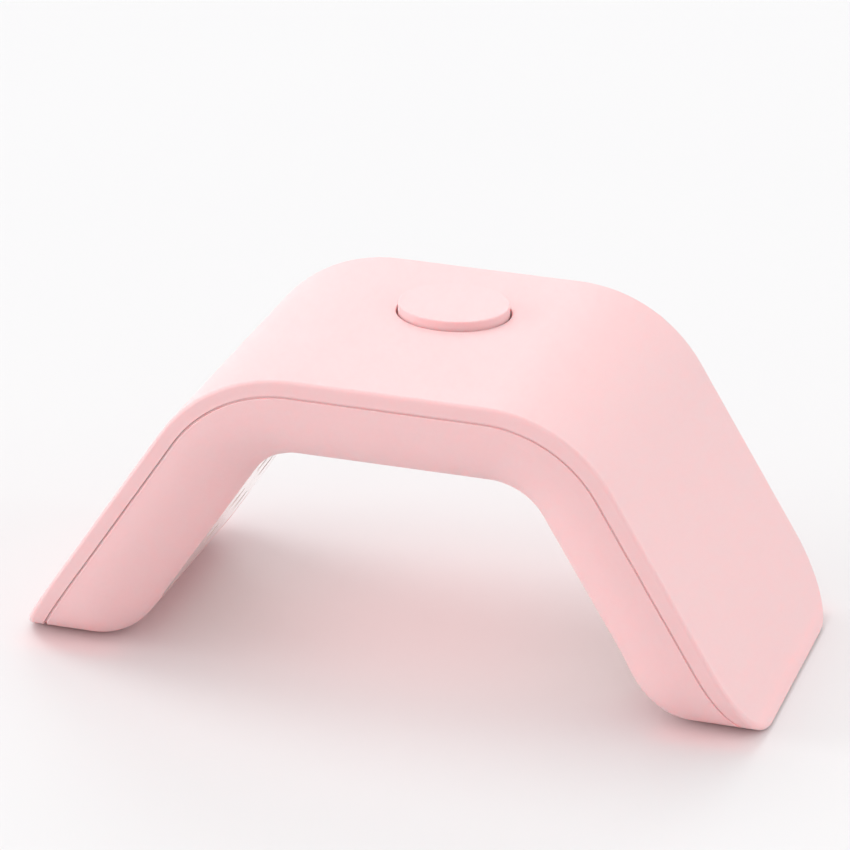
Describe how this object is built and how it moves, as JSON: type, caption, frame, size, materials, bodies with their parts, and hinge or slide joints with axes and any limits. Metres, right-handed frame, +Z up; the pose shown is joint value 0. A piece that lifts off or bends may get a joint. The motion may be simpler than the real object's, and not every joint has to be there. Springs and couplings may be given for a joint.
{
  "type": "nail lamp",
  "caption": "Arch-shaped UV LED nail curing lamp on two slanted legs, open front and back, with one large round push button on top.",
  "frame": {"origin": "on the floor under the middle of the arch, level with the bottom of the foot pads", "axes": "+X across the span from the left foot to the right foot, +Y through the arch towards the power inlet at the back, +Z up"},
  "size_m": [0.1792, 0.089, 0.0772],
  "materials": {
    "pink_shell": "very fine satin texture",
    "pink_housing": "very fine satin texture",
    "button_pink": "fine satin",
    "guide_plastic": "satin",
    "liner_white": "reflective white",
    "pad_rubber": "matt",
    "screw_steel": "zinc plated",
    "spring_steel": "bright wire",
    "switch_black": "matt",
    "plunger_plastic": "satin",
    "board_white": "white solder mask",
    "board_green": "green solder mask",
    "usb_steel": "stamped",
    "usb_tongue_black": "satin",
    "chip_epoxy": "matt epoxy",
    "ferrite": "matt ferrite",
    "copper_wire": "enamelled copper",
    "capacitor_can": "bright",
    "resistor_black": "glazed ceramic",
    "ceramic_tan": "ceramic",
    "socket_cream": "nylon",
    "lead_red": "silicone insulation",
    "lead_black": "silicone insulation",
    "led_package": "ceramic",
    "led_die": "bare chip",
    "usb_gold": "gold plated",
    "lens_clear": "clear silicone"
  },
  "bodies": {
    "lamp": {"top_cover": "pink_shell", "lower_housing": "pink_housing", "reflector_liner": "liner_white", "foot_pad_left": "pad_rubber", "foot_pad_right": "pad_rubber", "housing_screws": "screw_steel", "button_guide": "guide_plastic", "guide_screws": "screw_steel", "button_return_spring": "spring_steel", "switch_body": "switch_black", "main_board": "board_green", "board_screws": "screw_steel", "usb_shell": "usb_steel", "usb_tongue": "usb_tongue_black", "usb_contacts": "usb_gold", "controller_chip": "chip_epoxy", "driver_transistors": "chip_epoxy", "inductor_core": "ferrite", "inductor_winding": "copper_wire", "storage_capacitors": "capacitor_can", "chip_resistors": "resistor_black", "ceramic_capacitors": "ceramic_tan", "wire_sockets": "socket_cream", "red_leads": "lead_red", "black_leads": "lead_black", "led_board_top": "board_white", "led_board_left": "board_white", "led_board_right": "board_white", "led_board_screws": "screw_steel", "led_packages_top": "led_package", "led_packages_left": "led_package", "led_packages_right": "led_package", "led_dies_top": "led_die", "led_dies_left": "led_die", "led_dies_right": "led_die", "led_lenses_top": "lens_clear", "led_lenses_left": "lens_clear", "led_lenses_right": "lens_clear"},
    "button": {"button_cap": "button_pink", "switch_plunger": "plunger_plastic"}
  },
  "joints": [
    {"name": "button_press", "type": "slide", "parent": "lamp", "child": "button", "axis": [0, 0, -1], "range_m": [0, 0.0008], "stiffness_N_per_m": 1200, "springref_m": -0.0006, "deforming": ["button_return_spring"]}
  ]
}
